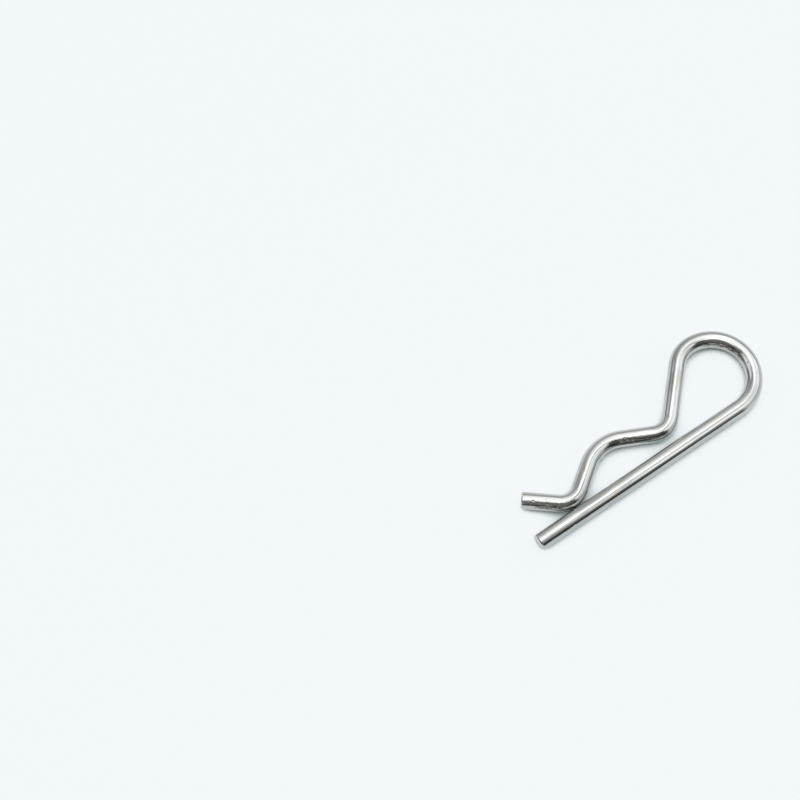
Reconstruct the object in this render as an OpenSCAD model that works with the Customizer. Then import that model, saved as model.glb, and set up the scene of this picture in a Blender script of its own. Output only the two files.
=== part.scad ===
// Hitch R clip: one length of round spring wire, bent flat.
// The straight leg goes through a cross hole in a shaft, and the waved leg springs over the outside of it.
// X runs along the straight leg towards the eye, Z is the shaft's axis,
// and the origin is the shaft's centre, on the axis of the straight leg.

/* [Wire] */
// Wire diameter
wire_d = 4; // [2.5:0.1:5]
// Chamfer that tumbling leaves round each cropped end
end_chamfer = 0.2; // [0.05:0.05:0.5]

/* [Straight leg] */
// Reach of the straight leg past the shaft's centre, to its cropped end
leg_reach = 26.4; // [20:0.1:60]

/* [Eye] */
// Radius inside the eye
eye_inner_r = 7.6; // [6:0.1:14]
// Turn of the eye, from the straight leg to its shoulder
eye_turn = 180; // [150:1:200]
// Radius inside the shoulder, where the eye closes in towards the waved leg
shoulder_inner_r = 4.9; // [2:0.1:8]

/* [Waved leg] */
// Height from the straight leg's axis to the inside of the seat, which is the radius of the shaft it suits
seat_height = 8.65; // [8.5:0.05:13]
// Radius inside the seat
seat_inner_r = 7.7; // [4:0.1:9]
// Radius inside both kinks
kink_inner_r = 3; // [1.5:0.1:4.5]
// Gap between the first kink and the straight leg
first_kink_gap = 1.75; // [0.5:0.05:3]
// Gap between the second kink and the straight leg, which all but touch
second_kink_gap = 0.1; // [0.05:0.05:1]
// Slope from the shoulder down to the first kink, in degrees to the straight leg
throat_slope = 46; // [35:0.5:60]
// Slope from the first kink up to the seat
rise_slope = 26; // [20:0.5:33]
// Slope from the seat down to the second kink
fall_slope = 35.5; // [25:0.5:40]
// Slope of the flared tail
tail_slope = 39.5; // [20:0.5:60]
// Length of the flared tail past the second kink
tail_len = 8.5; // [3:0.5:20]

/* [Hidden] */
$fn = 96;

// The wire is drawn in metres and scaled up as a whole, which brings each length flush with the next
mm = 0.001;

// Centreline radii
wire_r = wire_d / 2 * mm;
eye_r = eye_inner_r * mm + wire_r;
shoulder_r = shoulder_inner_r * mm + wire_r;
seat_r = seat_inner_r * mm + wire_r;
kink_r = kink_inner_r * mm + wire_r;

// Centreline heights over the straight leg's axis
first_kink_y = (wire_d + first_kink_gap) * mm;
seat_y = seat_height * mm + wire_r;
second_kink_y = (wire_d + second_kink_gap) * mm;
eye_end_y = eye_r * (1 - cos(eye_turn));
shoulder_end_y = eye_end_y + shoulder_r * (cos(eye_turn) + cos(throat_slope));

// Height that a bend gains between its crest and a slope
function rise(bend_r, slope) = bend_r * (1 - cos(slope));

// Straight wire between the bends, each as long as the height left to it asks for
throat_len = (shoulder_end_y - first_kink_y - rise(kink_r, throat_slope)) / sin(throat_slope);
rise_len = (seat_y - first_kink_y - rise(seat_r + kink_r, rise_slope)) / sin(rise_slope);
fall_len = (seat_y - second_kink_y - rise(seat_r + kink_r, fall_slope)) / sin(fall_slope);

// Distances from the shaft's centre, added up from the seat's crest back to the eye
first_kink_x = (seat_r + kink_r) * sin(rise_slope) + rise_len * cos(rise_slope);
throat_end_x = first_kink_x + kink_r * sin(throat_slope) + throat_len * cos(throat_slope);
eye_x = throat_end_x + shoulder_r * (sin(throat_slope) + sin(eye_turn)) - eye_r * sin(eye_turn);

// The wire from the eye on, as it is bent: length fed, bend's radius, angle turned (left is positive)
BENDS = [
    [0, eye_r, eye_turn],
    [0, shoulder_r, 180 + throat_slope - eye_turn],
    [throat_len, kink_r, -throat_slope - rise_slope],
    [rise_len, seat_r, rise_slope + fall_slope],
    [fall_len, kink_r, -fall_slope - tail_slope]
];

// Straight wire along +X
module straight_wire(len) {
    rotate([0, 90, 0]) cylinder(h = len, r = wire_r);
}

// Straight wire along +X that ends in a chamfer
module cropped_wire(len) {
    chamfer = end_chamfer * mm;
    straight_wire(len - chamfer);
    translate([len - chamfer, 0, 0])
        rotate([0, 90, 0]) cylinder(h = chamfer, r1 = wire_r, r2 = wire_r - chamfer);
}

// Bent wire that leaves the origin along +X
module bent_wire(bend_r, angle) {
    mirror([0, angle < 0 ? 1 : 0, 0])
        translate([0, bend_r, 0])
            rotate([0, 0, -90])
                rotate_extrude(angle = abs(angle)) translate([bend_r, 0]) circle(r = wire_r);
}

// Carries what follows to the far end of such a bend
module after_bend(bend_r, angle) {
    centre_y = sign(angle) * bend_r;
    translate([0, centre_y, 0])
        rotate([0, 0, angle])
            translate([0, -centre_y, 0]) children();
}

// The wire from bend i on, each length carried on the end of the one before
module wire_from(i) {
    feed = BENDS[i][0];
    bend_r = BENDS[i][1];
    angle = BENDS[i][2];
    if (feed > 0) straight_wire(feed);
    translate([feed, 0, 0]) {
        bent_wire(bend_r, angle);
        after_bend(bend_r, angle) {
            if (i < len(BENDS) - 1) wire_from(i + 1);
            else cropped_wire(tail_len * mm);
        }
    }
}

// Both legs are placed from the eye's start, with the straight leg running back from it
module r_clip() {
    color("silver") scale(1 / mm) translate([eye_x, 0, 0]) {
        mirror([1, 0, 0]) cropped_wire(leg_reach * mm + eye_x);
        wire_from(0);
    }
}

r_clip();
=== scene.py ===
import math

import bpy
import numpy as np
from mathutils import Matrix, Vector


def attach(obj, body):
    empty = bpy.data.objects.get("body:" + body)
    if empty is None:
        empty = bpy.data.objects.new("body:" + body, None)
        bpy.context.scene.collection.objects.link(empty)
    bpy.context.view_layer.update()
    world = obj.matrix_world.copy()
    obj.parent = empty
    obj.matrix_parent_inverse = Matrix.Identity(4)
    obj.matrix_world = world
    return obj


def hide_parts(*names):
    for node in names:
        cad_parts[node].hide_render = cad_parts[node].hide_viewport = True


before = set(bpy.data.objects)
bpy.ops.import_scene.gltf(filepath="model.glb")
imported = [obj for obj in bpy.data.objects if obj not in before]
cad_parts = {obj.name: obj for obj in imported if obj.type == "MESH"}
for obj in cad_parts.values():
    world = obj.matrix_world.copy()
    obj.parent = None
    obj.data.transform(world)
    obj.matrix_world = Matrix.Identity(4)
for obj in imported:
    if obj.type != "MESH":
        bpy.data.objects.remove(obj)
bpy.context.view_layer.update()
mm = 0.001
tiny = 1e-9


# From sRGB hex to the linear values that sockets take
def hexColour(code):
    channels = [int(code[i:i + 2], 16) / 255 for i in (1, 3, 5)]
    linear = [c / 12.92 if c <= 0.04045 else ((c + 0.055) / 1.055) ** 2.4 for c in channels]
    return (*linear, 1.0)


# An input that is a socket is linked, and anything else is set
def addNode(tree, kind, inputs=None, output=0, **settings):
    node = tree.nodes.new(kind)
    for name, value in settings.items():
        setattr(node, name, value)
    for name, value in (inputs or {}).items():
        if isinstance(value, bpy.types.NodeSocket):
            tree.links.new(value, node.inputs[name])
        else:
            node.inputs[name].default_value = value
    return node.outputs[output] if node.outputs else node


def sine(degrees):
    return math.sin(math.radians(degrees))


def cosine(degrees):
    return math.cos(math.radians(degrees))


def newMaterial(name):
    material = bpy.data.materials.new(name)
    material.use_nodes = True
    return material, material.node_tree, material.node_tree.nodes["Principled BSDF"]


# The wire as it is bent, in millimetres and degrees
wire = {
    "diameter": 4.0,
    "chamfer": 0.2,
    "legReach": 26.4,        # from the shaft's centre to the cropped end
    "eyeInner": 7.6,         # radii inside the bends
    "eyeTurn": 180.0,
    "shoulderInner": 4.9,
    "seatHeight": 8.65,      # from the leg's axis to the inside of the seat
    "seatInner": 7.7,
    "kinkInner": 3.0,
    "firstKinkGap": 1.75,    # between kink and leg
    "secondKinkGap": 0.1,
    "throatSlope": 46.0,
    "riseSlope": 26.0,
    "fallSlope": 35.5,
    "tailSlope": 39.5,
    "tailLength": 8.5,
    # rings of points: even ones along the wire, and closer ones at its ends
    "ringStep": 0.18,
    "around": 96,
    "faceRings": (0.3, 0.6, 0.85, 0.97, 1.0),    # on the end's flat face, as shares of its radius
    # on the chamfer, rolled at both edges: distance in from the end, and depth below the full radius, as its shares
    "edgeRings": [(0.03, 0.98), (0.95, 0.06), (1.0, 0.01), (1.15, 0.0)],
    "endLength": 0.3,        # where the even rings begin
    # marks that the work leaves in the metal, round the wire in degrees from its left
    "pinFlat": 0.06,         # depth pressed in by the bending pin, inside a kink
    "thinning": 0.05,        # outside a kink, where the wire stretches
    "fullStrain": 0.4,       # a kink's, where both are full
    "easeStep": 0.05,        # the curvature is eased over this many such steps where a bend starts
    "easeSteps": 41,
    "nickWidth": 0.38,
    "nickStretch": 1.6,      # length to width
    "nickRim": 1.7,          # higher is steeper
    # place along the wire, round it, and depth
    "nicks": [
        (9.0, 150, 0.05), (17.5, 60, 0.05), (33.0, 20, 0.06), (48.7, 18, 0.06), (70.4, 62, 0.1),
        (76.0, 40, 0.06), (79.3, 34, 0.06), (97.5, 16, 0.08), (110.3, 36, 0.06), (118.7, 56, 0.15),
        (120.0, 58, 0.16), (120.5, 72, 0.06), (121.6, 54, 0.14), (134.0, 110, 0.05), (144.5, 40, 0.06),
        (147.9, 84, 0.05), (150.6, 72, 0.05),
    ],
    # from, to, round the wire, half width and depth
    "toolDrags": [(108.0, 125.5, 48, 0.22, 0.05), (62.0, 71.0, 42, 0.35, 0.006), (140.5, 146.0, 48, 0.3, 0.012)],
    "dragFade": 2.0,
    # from, to, round the wire, and half the width that it fades out over
    "wornPlaces": [(71, 86, 35, 30), (110, 126, 48, 20), (141.0, 153.2, 48, 36)],
    "wornFade": 2.5,
}


# Length fed, bend radius and angle turned (left is positive), starting with the straight leg
def bendList(w):
    r = w["diameter"] / 2
    eye, shoulder = w["eyeInner"] + r, w["shoulderInner"] + r
    seat, kink = w["seatInner"] + r, w["kinkInner"] + r
    firstKinkY, secondKinkY = w["diameter"] + w["firstKinkGap"], w["diameter"] + w["secondKinkGap"]
    seatY = w["seatHeight"] + r
    eyeTurn, throatSlope = w["eyeTurn"], w["throatSlope"]
    riseSlope, fallSlope = w["riseSlope"], w["fallSlope"]
    shoulderY = eye * (1 - cosine(eyeTurn)) + shoulder * (cosine(eyeTurn) + cosine(throatSlope))
    throat = (shoulderY - firstKinkY - kink * (1 - cosine(throatSlope))) / sine(throatSlope)
    rise = (seatY - firstKinkY - (seat + kink) * (1 - cosine(riseSlope))) / sine(riseSlope)
    fall = (seatY - secondKinkY - (seat + kink) * (1 - cosine(fallSlope))) / sine(fallSlope)
    firstKinkX = (seat + kink) * sine(riseSlope) + rise * cosine(riseSlope)
    throatX = firstKinkX + kink * sine(throatSlope) + throat * cosine(throatSlope)
    eyeX = throatX + shoulder * (sine(throatSlope) + sine(eyeTurn)) - eye * sine(eyeTurn)
    return [
        (w["legReach"] + eyeX, eye, eyeTurn),
        (0, shoulder, 180 + throatSlope - eyeTurn),
        (throat, kink, -throatSlope - riseSlope),
        (rise, seat, riseSlope + fallSlope),
        (fall, kink, -fallSlope - w["tailSlope"]),
        (w["tailLength"], 1, 0),
    ]


# Place, heading and curvature at each distance along the wire
def followWire(w, along):
    x, y, heading, curve = (np.zeros(len(along)) for _ in range(4))
    x0, y0, heading0, done = -w["legReach"], 0.0, 0.0, 0.0
    for feed, radius, angle in bendList(w):
        bent = (radius * math.radians(abs(angle)), math.copysign(1 / radius, angle))
        for length, bend in ((feed, 0.0), bent):
            if length == 0:
                continue
            here = along >= done - tiny
            d = np.append(along[here] - done, length)
            h = heading0 + bend * d
            if bend:
                px = x0 + (np.sin(h) - math.sin(heading0)) / bend
                py = y0 - (np.cos(h) - math.cos(heading0)) / bend
            else:
                px = x0 + d * math.cos(heading0)
                py = y0 + d * math.sin(heading0)
            x[here], y[here], heading[here], curve[here] = px[:-1], py[:-1], h[:-1], bend
            x0, y0, heading0, done = px[-1], py[-1], h[-1], done + length
    return x, y, heading, curve


def wireLength(w):
    return sum(feed + radius * math.radians(abs(angle)) for feed, radius, angle in bendList(w))


# Distances along the wire where its rings of points stand, and the radius of each
def placeRings(w):
    r, chamfer, total = w["diameter"] / 2, w["chamfer"], wireLength(w)
    end = [(0, share * (r - chamfer)) for share in w["faceRings"]]
    end += [(inwards * chamfer, r - below * chamfer) for inwards, below in w["edgeRings"]]
    evenLength = total - 2 * w["endLength"]
    middle = np.linspace(w["endLength"], total - w["endLength"], round(evenLength / w["ringStep"]))
    along = np.array([d for d, _ in end] + list(middle) + [total - d for d, _ in reversed(end)])
    radius = np.array([q for _, q in end] + [r] * len(middle) + [q for _, q in reversed(end)])
    return along, radius[:, None] * np.ones(w["around"])


# How sharply the wire is bent at each distance, eased where a bend starts
def easeCurve(w, along):
    fine = np.arange(0, wireLength(w), w["easeStep"])
    window = np.hanning(w["easeSteps"])
    return np.interp(along, fine, np.convolve(followWire(w, fine)[3], window / window.sum(), mode="same"))


# Presses the work's marks into the radius, and gives how worn each point is
def markWire(w, along, phi, radius, curve):
    r = w["diameter"] / 2

    def roundFrom(degrees):
        return (phi - math.radians(degrees) + math.pi) % (2 * math.pi) - math.pi

    def between(first, last, fade):
        return (np.clip((along - first) / fade, 0, 1) * np.clip((last - along) / fade, 0, 1))[:, None]

    # the powers keep the pin's flat to the very inside of the tightest bends, and spread the thinning wider
    tight = np.clip(np.abs(curve) * r / w["fullStrain"], 0, 1)[:, None]
    inside = np.cos(phi) * np.sign(curve)[:, None]
    radius -= w["pinFlat"] * tight ** 3 * np.clip(inside, 0, 1) ** 6
    radius -= w["thinning"] * tight ** 2 * np.clip(-inside, 0, 1) ** 2
    for place, turn, depth in w["nicks"]:
        away = np.hypot((along - place)[:, None] / w["nickStretch"], r * roundFrom(turn)) / w["nickWidth"]
        radius -= depth * np.exp(-(away * w["nickRim"]) ** 2)
    for first, last, turn, width, depth in w["toolDrags"]:
        radius -= depth * between(first, last, w["dragFade"]) * np.exp(-(r * roundFrom(turn) / width) ** 2)
    worn = np.zeros_like(radius)
    for first, last, turn, spread in w["wornPlaces"]:
        here = between(first, last, w["wornFade"]) * np.exp(-(roundFrom(turn) / math.radians(spread)) ** 2)
        worn = np.maximum(worn, here)
    return worn


def buildWire(w, name):
    n, total = w["around"], wireLength(w)
    phi = np.arange(n) / n * 2 * math.pi             # round the wire, from the left of its run
    along, radius = placeRings(w)
    x, y, heading, _ = followWire(w, along)
    curve = easeCurve(w, along)
    strain = curve[:, None] * w["diameter"] / 2 * np.cos(phi)    # squeezed inside a bend, stretched outside
    worn = markWire(w, along, phi, radius, curve)

    # each ring's points, then the middles of both ends
    rings = len(along)
    leftX, leftY = -np.sin(heading)[:, None], np.cos(heading)[:, None]
    across, up = radius * np.cos(phi), radius * np.sin(phi)
    points = np.stack([x[:, None] + leftX * across, y[:, None] + leftY * across, up], 2).reshape(-1, 3)
    points = np.vstack([points, [[x[0], y[0], 0], [x[-1], y[-1], 0]]])
    unbent = np.stack([along[:, None] + np.zeros_like(across), across, up], 2).reshape(-1, 3)
    unbent = np.vstack([unbent, [[0, 0, 0], [total, 0, 0]]])
    strain, worn = np.append(strain.ravel(), [0, 0]), np.append(worn.ravel(), [0, 0])

    a = np.arange(rings - 1)[:, None] * n + np.arange(n)
    b = np.arange(rings - 1)[:, None] * n + (np.arange(n) + 1) % n
    faces = np.stack([a, b, b + n, a + n], 2).reshape(-1, 4)[:, ::-1].tolist()
    last = (rings - 1) * n
    for k in range(n):
        faces.append([rings * n, k, (k + 1) % n])
        faces.append([rings * n + 1, last + (k + 1) % n, last + k])

    mesh = bpy.data.meshes.new(name)
    mesh.from_pydata((points * mm).tolist(), [], faces)
    unbentValues = mesh.attributes.new("unbent", "FLOAT_VECTOR", "POINT").data
    unbentValues.foreach_set("vector", unbent.astype(np.float32).ravel())
    for attribute, values in (("strain", strain), ("worn", worn)):
        mesh.attributes.new(attribute, "FLOAT", "POINT").data.foreach_set("value", values.astype(np.float32))
    mesh.polygons.foreach_set("use_smooth", np.ones(len(mesh.polygons), dtype=bool))
    mesh.update()
    piece = bpy.data.objects.new(name, mesh)
    bpy.context.scene.collection.objects.link(piece)
    return piece


springWire = buildWire(wire, "springWire")
print("wire bent:", round(wireLength(wire), 1), "mm of wire,", len(springWire.data.polygons), "faces")

# Spring steel, bright from the drawing die, with a clear passivated zinc flash: sharp reflections that
# draw lines streak along the wire, duller skin in patches, a hint of straw and blue,
# and grainy scratched brown where tools wore the coat
brightWire = {
    "steel": "#cccecc",
    "dullSkin": "#a6a8a6",
    "blueFilm": "#aec0c8",
    "strawFilm": "#cfc4b0",
    "filmShare": 0.4,
    "wornBrown": "#887b70",
    "wornOlive": "#858770",
    "roughness": (0.05, 0.14),       # bright and dull
    "seamDullness": 0.5,             # of seams and squeezed skin, as a share of the dull patches'
    "pitRoughness": 0.3,
    "wornRoughness": 0.32,
    # size along the wire and round it in mm, detail and roughness of each pattern
    "patterns": {
        "drawLines": (22.0, 0.2, 3, 0.6),      # real ones are 0.02 wide, drawn coarser so that they show
        "seams": (60.0, 0.7, 1, 0.5),          # broader bands that a worn die leaves
        "patches": (7.5, 3.0, 2, 0.5),
        "film": (4.0, 1.6, 3, 0.6),
        "wornGrain": (0.68, 0.34, 2, 0.6),
        "wornDrags": (9.0, 0.36, 1, 0.5),      # scratches along the wire in the worn places
        "pits": (0.375, 0.25, 1, 0.5),         # pickling pits are 0.05, drawn coarser too
        "wrinkles": (0.5, 3.0, 2, 0.5),        # ridges squeezed up inside a kink
        "orangePeel": (0.35, 0.35, 2, 0.5),    # roughened skin outside a kink
    },
    # the pattern that each comes from, the value where it starts to show, and where it is full
    "shares": {
        "patchy": ("patches", 0.45, 0.66),
        "pitPatches": ("patches", 0.5, 0.62),
        "lined": ("drawLines", 0.4, 0.62),
        "seamed": ("seams", 0.52, 0.66),
        "pitHoles": ("pits", 0.62, 0.74),
        "specks": ("wornGrain", 0.42, 0.6),
        "blueFilm": ("film", 0.54, 0.72),
        "strawFilm": ("film", 0.46, 0.28),
        "olive": ("film", 0.42, 0.58),
        "squeezed": ("strain", 0.18, 0.4),
        "stretched": ("strain", -0.15, -0.4),
    },
    # relief of each pattern where it shows, in mm
    "depths": {"drawLines": 0.006, "seams": 0.006, "pitted": -0.004, "wornGrain": 0.02, "wornDrags": 0.1,
               "wrinkles": 0.01, "orangePeel": 0.003},
}


def brightWireMaterial(b):
    material, tree, shader = newMaterial("brightZincedSpringSteel")
    place = addNode(tree, "ShaderNodeAttribute", None, "Vector", attribute_name="unbent")
    worn = addNode(tree, "ShaderNodeAttribute", None, "Fac", attribute_name="worn")

    pattern = {"strain": addNode(tree, "ShaderNodeAttribute", None, "Fac", attribute_name="strain")}
    for name, (lengthways, crossways, detail, roughness) in b["patterns"].items():
        scaled = addNode(tree, "ShaderNodeVectorMath",
                         {0: place, 1: (1 / lengthways, 1 / crossways, 1 / crossways)}, operation="MULTIPLY")
        pattern[name] = addNode(tree, "ShaderNodeTexNoise",
                                {"Vector": scaled, "Scale": 1.0, "Detail": detail, "Roughness": roughness}, "Fac")
    share = {}
    for name, (source, start, full) in b["shares"].items():
        share[name] = addNode(tree, "ShaderNodeMapRange",
                              {"Value": pattern[source], "From Min": start, "From Max": full},
                              interpolation_type="SMOOTHSTEP")
    pitted = addNode(tree, "ShaderNodeMath", {0: share["pitHoles"], 1: share["pitPatches"]}, operation="MULTIPLY")
    speckled = addNode(tree, "ShaderNodeMath", {0: share["specks"], 1: worn}, operation="MULTIPLY")
    dull = addNode(tree, "ShaderNodeMath", {0: share["patchy"], 1: share["lined"]}, operation="MULTIPLY")
    for name in ("seamed", "squeezed"):
        part = addNode(tree, "ShaderNodeMath", {0: share[name], 1: b["seamDullness"]}, operation="MULTIPLY")
        dull = addNode(tree, "ShaderNodeMath", {0: dull, 1: part}, operation="MAXIMUM")

    # the mix node's sockets 6 and 7 are its colours, and output 2 is their mix
    colour = addNode(tree, "ShaderNodeMix",
                     {"Factor": dull, 6: hexColour(b["steel"]), 7: hexColour(b["dullSkin"])}, 2, data_type="RGBA")
    for name in ("blueFilm", "strawFilm"):
        thin = addNode(tree, "ShaderNodeMath", {0: share[name], 1: b["filmShare"]}, operation="MULTIPLY")
        colour = addNode(tree, "ShaderNodeMix",
                         {"Factor": thin, 6: colour, 7: hexColour(b[name])}, 2, data_type="RGBA")
    stain = addNode(tree, "ShaderNodeMix",
                    {"Factor": share["olive"], 6: hexColour(b["wornBrown"]), 7: hexColour(b["wornOlive"])}, 2,
                    data_type="RGBA")
    colour = addNode(tree, "ShaderNodeMix", {"Factor": speckled, 6: colour, 7: stain}, 2, data_type="RGBA")
    tree.links.new(colour, shader.inputs["Base Color"])
    shader.inputs["Metallic"].default_value = 1.0

    rough = addNode(tree, "ShaderNodeMapRange",
                    {"Value": dull, "To Min": b["roughness"][0], "To Max": b["roughness"][1]},
                    interpolation_type="SMOOTHSTEP")
    for amount, most in ((pitted, b["pitRoughness"]), (speckled, b["wornRoughness"])):
        part = addNode(tree, "ShaderNodeMath", {0: amount, 1: most}, operation="MULTIPLY")
        rough = addNode(tree, "ShaderNodeMath", {0: rough, 1: part}, operation="MAXIMUM")
    tree.links.new(rough, shader.inputs["Roughness"])

    # each relief, and where on the wire it shows
    shown = {
        "drawLines": (pattern["drawLines"], 1.0),
        "seams": (pattern["seams"], 1.0),
        "pitted": (pitted, 1.0),
        "wornGrain": (pattern["wornGrain"], worn),
        "wornDrags": (pattern["wornDrags"], worn),
        "wrinkles": (pattern["wrinkles"], share["squeezed"]),
        "orangePeel": (pattern["orangePeel"], share["stretched"]),
    }
    height = 0.0
    for name, (relief, where) in shown.items():
        there = addNode(tree, "ShaderNodeMath", {0: relief, 1: where}, operation="MULTIPLY")
        height = addNode(tree, "ShaderNodeMath", {0: there, 1: b["depths"][name], 2: height},
                         operation="MULTIPLY_ADD")
    bump = addNode(tree, "ShaderNodeBump", {"Strength": 1.0, "Distance": mm, "Height": height})
    tree.links.new(bump, shader.inputs["Normal"])
    return material


springWire.data.materials.append(brightWireMaterial(brightWire))

# The ends are cropped in a shear: bright where the blade slid, with lines across and a torn, duller half
croppedEnd = {
    "steel": "#bfc3c1",
    "roughness": (0.16, 0.34),
    "shearLineWidth": 0.2,
    "shearLineLength": 1.33,
    "shearLineDepth": 0.004,
    "tornGrain": 0.25,
    "tornDepth": 0.012,
    "tornFrom": (0.2, -0.6),     # heights over the wire's middle where the torn half begins, and where it is full
    "detail": (2, 3),            # of the shear lines and of the torn grain
}


def croppedEndMaterial(c):
    material, tree, shader = newMaterial("croppedSpringSteel")
    place = addNode(tree, "ShaderNodeAttribute", None, "Vector", attribute_name="unbent")
    upDown = addNode(tree, "ShaderNodeSeparateXYZ", {0: place}, "Z")
    torn = addNode(tree, "ShaderNodeMapRange",
                   {"Value": upDown, "From Min": c["tornFrom"][0], "From Max": c["tornFrom"][1]},
                   interpolation_type="SMOOTHSTEP")
    stretched = addNode(tree, "ShaderNodeVectorMath",
                        {0: place, 1: (0, 1 / c["shearLineWidth"], 1 / c["shearLineLength"])}, operation="MULTIPLY")
    lines = addNode(tree, "ShaderNodeTexNoise",
                    {"Vector": stretched, "Scale": 1.0, "Detail": c["detail"][0]}, "Fac")
    grain = addNode(tree, "ShaderNodeTexNoise",
                    {"Vector": place, "Scale": 1 / c["tornGrain"], "Detail": c["detail"][1]}, "Fac")
    rough = addNode(tree, "ShaderNodeMapRange",
                    {"Value": torn, "To Min": c["roughness"][0], "To Max": c["roughness"][1]})
    shaped = addNode(tree, "ShaderNodeMath", {0: lines, 1: c["shearLineDepth"]}, operation="MULTIPLY")
    broken = addNode(tree, "ShaderNodeMath", {0: grain, 1: c["tornDepth"]}, operation="MULTIPLY")
    height = addNode(tree, "ShaderNodeMix", {"Factor": torn, 2: shaped, 3: broken})    # 2 and 3 are its two values
    bump = addNode(tree, "ShaderNodeBump", {"Strength": 1.0, "Distance": mm, "Height": height})
    shader.inputs["Base Color"].default_value = hexColour(c["steel"])
    shader.inputs["Metallic"].default_value = 1.0
    tree.links.new(rough, shader.inputs["Roughness"])
    tree.links.new(bump, shader.inputs["Normal"])
    return material


springWire.data.materials.append(croppedEndMaterial(croppedEnd))
# the first and last quads lie on the end faces, and so do the two fans that follow them
onEachEnd = (len(wire["faceRings"]) - 1) * wire["around"]
quads = len(springWire.data.polygons) - 2 * wire["around"]
for polygon in springWire.data.polygons:
    if polygon.index < onEachEnd or quads - onEachEnd <= polygon.index:
        polygon.material_index = 1

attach(springWire, "root")
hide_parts("r_clip")
print("wire finished")

# The camera looks down on a table, and the clip lies on it turned away
view = {
    "turn": 36.19,                       # of the straight leg on the table
    "clipPlace": (53.846, -19.569),      # of the shaft's centre, from the point looked at, in mm
    "height": 68.787,                    # degrees above the table
    "roll": 1.296,
    "distance": 587.72,
    "lens": 112.5,
    "sensor": 36,
    "nearest": 10,                       # clip start
}


# Turns a vector from the table's axes to the clip's
def turnFromTable(vector):
    return Matrix.Rotation(-math.radians(view["turn"]), 3, "Z") @ Vector(vector)


def towards(azimuth, height):
    return turnFromTable((cosine(height) * cosine(azimuth), cosine(height) * sine(azimuth), sine(height)))


def addCamera(v):
    middle = Vector((*v["clipPlace"], wire["diameter"] / 2))
    place = Vector((0, -cosine(v["height"]), sine(v["height"]))) * v["distance"]
    level, upright = Vector((1, 0, 0)), Vector((0, sine(v["height"]), cosine(v["height"])))
    right = cosine(v["roll"]) * level + sine(v["roll"]) * upright
    up = cosine(v["roll"]) * upright - sine(v["roll"]) * level
    axes = Matrix([turnFromTable(axis) for axis in (right, up, right.cross(up))]).transposed()
    camera = bpy.data.objects.new("camera", bpy.data.cameras.new("camera"))
    camera.data.lens = v["lens"]
    camera.data.sensor_width = v["sensor"]
    camera.data.clip_start = v["nearest"] * mm
    camera.matrix_world = Matrix.Translation(turnFromTable(place - middle) * mm) @ axes.to_4x4()
    bpy.context.scene.collection.objects.link(camera)
    bpy.context.scene.camera = camera


addCamera(view)
bpy.context.scene.view_settings.view_transform = "Standard"

# White laminate, satin from its press plate
table = {
    "halfWidth": 4000,
    "white": "#ebf7f7",
    "paleView": "#f5f9fc",      # what the camera and the metal see of it, away from the clip
    "paleShare": 0.9,
    "lightFrom": (145, 55),     # azimuth and height of the side that the shadow is open to
    "shadowReach": 9.0,         # mm
    # how open a spot is where the shadow is full, and where it ends
    "openFromThere": (0.25, 0.42),
    "openAllRound": (0.36, 0.54),
    "openSamples": 12,
    "roughness": 0.3,
}


def addTable(t):
    half, z = t["halfWidth"] * mm, -wire["diameter"] / 2 * mm
    corners = [(-half, -half, z), (half, -half, z), (half, half, z), (-half, half, z)]
    mesh = bpy.data.meshes.new("table")
    mesh.from_pydata(corners, [], [(0, 1, 2, 3)])
    piece = bpy.data.objects.new("table", mesh)
    bpy.context.scene.collection.objects.link(piece)
    material, tree, shader = newMaterial("whiteLaminate")
    shader.inputs["Base Color"].default_value = hexColour(t["white"])
    shader.inputs["Roughness"].default_value = t["roughness"]

    # the contact shadow: a spot looks pale where it is open both towards the light and all round
    clear = 1.0
    openSides = ((towards(*t["lightFrom"]), t["openFromThere"]), (Vector((0, 0, 1)), t["openAllRound"]))
    for side, (start, full) in openSides:
        facing = addNode(tree, "ShaderNodeCombineXYZ", {"X": side.x, "Y": side.y, "Z": side.z})
        openness = addNode(tree, "ShaderNodeAmbientOcclusion",
                           {"Distance": t["shadowReach"] * mm, "Normal": facing}, "AO", samples=t["openSamples"])
        share = addNode(tree, "ShaderNodeMapRange",
                        {"Value": openness, "From Min": start, "From Max": full, "To Max": t["paleShare"]},
                        interpolation_type="SMOOTHSTEP")
        clear = addNode(tree, "ShaderNodeMath", {0: share, 1: clear}, operation="MINIMUM")
    seen = 0.0
    for kind in ("Is Camera Ray", "Is Glossy Ray", "Is Transmission Ray"):
        ray = addNode(tree, "ShaderNodeLightPath", None, kind)
        seen = addNode(tree, "ShaderNodeMath", {0: ray, 1: seen}, operation="MAXIMUM")
    share = addNode(tree, "ShaderNodeMath", {0: clear, 1: seen}, operation="MULTIPLY")
    pale = addNode(tree, "ShaderNodeEmission", {"Color": hexColour(t["paleView"]), "Strength": 1.0})
    mixed = addNode(tree, "ShaderNodeMixShader", {0: share, 1: shader.outputs[0], 2: pale})
    tree.links.new(mixed, tree.nodes["Material Output"].inputs["Surface"])
    mesh.materials.append(material)


addTable(table)

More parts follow.
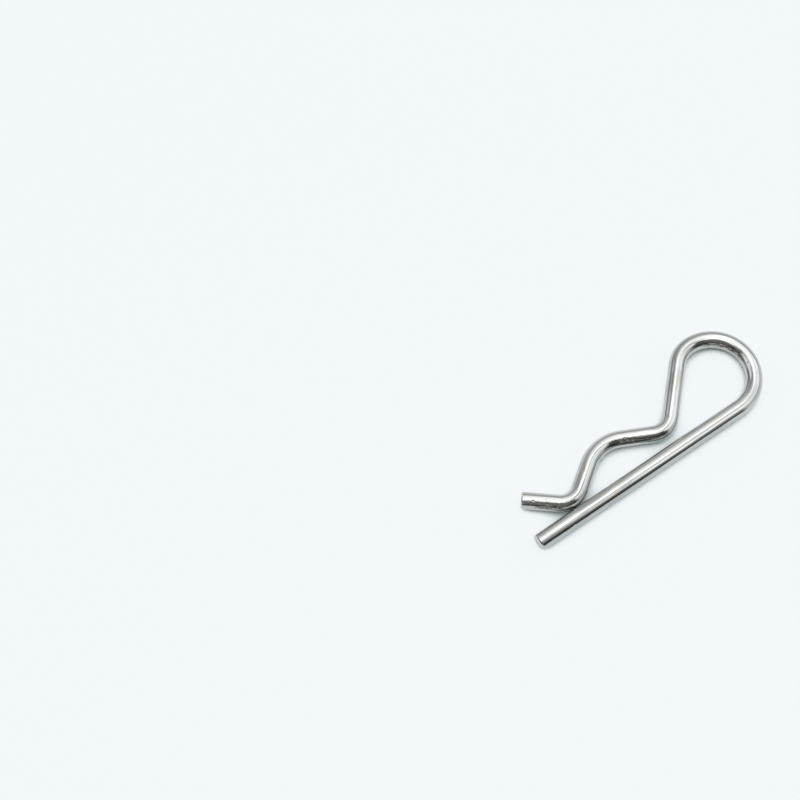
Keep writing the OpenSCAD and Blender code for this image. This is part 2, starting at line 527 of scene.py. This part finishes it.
# A soft box overhead, fainter ones behind and to the right, a window to the left, one in front, and dark screens.
# Each has a strength, azimuth, height, and the angles from its middle where it starts to fade and is gone.
# A strength below 0 is a dark screen's, which takes that share of the light away
studio = {
    "level": 1.11,
    "walls": 0.16,
    "boxes": [
        (0.98, 143, 83, 18.5, 22), (0.5, 87, 58, 19.5, 27), (0.6, 25, 56, 30, 40), (0.45, 4, 27, 32.5, 41.5),
        (0.84, 174, 37, 13.5, 28.5), (0.33, 98, 10, 35, 69), (0.85, -85, 51, 9.5, 44),
        (-0.78, -85, 17, 45, 58), (-0.9, -39, 58, 6, 9),
    ],
    "pale": "#f1f5f8",           # what the camera sees past the table
}


def lightRoom(room):
    world = bpy.data.worlds.new("studio")
    bpy.context.scene.world = world
    world.use_nodes = True
    tree = world.node_tree
    tree.nodes.clear()
    direction = addNode(tree, "ShaderNodeTexCoord", None, "Generated")
    light = room["walls"]
    for strength, azimuth, height, full, gone in room["boxes"]:
        facing = addNode(tree, "ShaderNodeVectorMath", {0: direction, 1: towards(azimuth, height)}, "Value",
                         operation="DOT_PRODUCT")
        share = addNode(tree, "ShaderNodeMapRange",
                        {"Value": facing, "From Min": cosine(gone), "From Max": cosine(full)},
                        interpolation_type="SMOOTHSTEP")
        if strength > 0:
            light = addNode(tree, "ShaderNodeMath", {0: share, 1: strength, 2: light}, operation="MULTIPLY_ADD")
        else:
            left = addNode(tree, "ShaderNodeMath", {0: share, 1: strength, 2: 1.0}, operation="MULTIPLY_ADD")
            light = addNode(tree, "ShaderNodeMath", {0: light, 1: left}, operation="MULTIPLY")
    strength = addNode(tree, "ShaderNodeMath", {0: light, 1: room["level"]}, operation="MULTIPLY")
    lit = addNode(tree, "ShaderNodeBackground", {"Color": (1, 1, 1, 1), "Strength": strength})
    pale = addNode(tree, "ShaderNodeBackground", {"Color": hexColour(room["pale"]), "Strength": 1.0})
    seen = addNode(tree, "ShaderNodeLightPath", None, "Is Camera Ray")
    mixed = addNode(tree, "ShaderNodeMixShader", {0: seen, 1: lit, 2: pale})
    addNode(tree, "ShaderNodeOutputWorld", {"Surface": mixed})


lightRoom(studio)
print("camera, table and light placed")
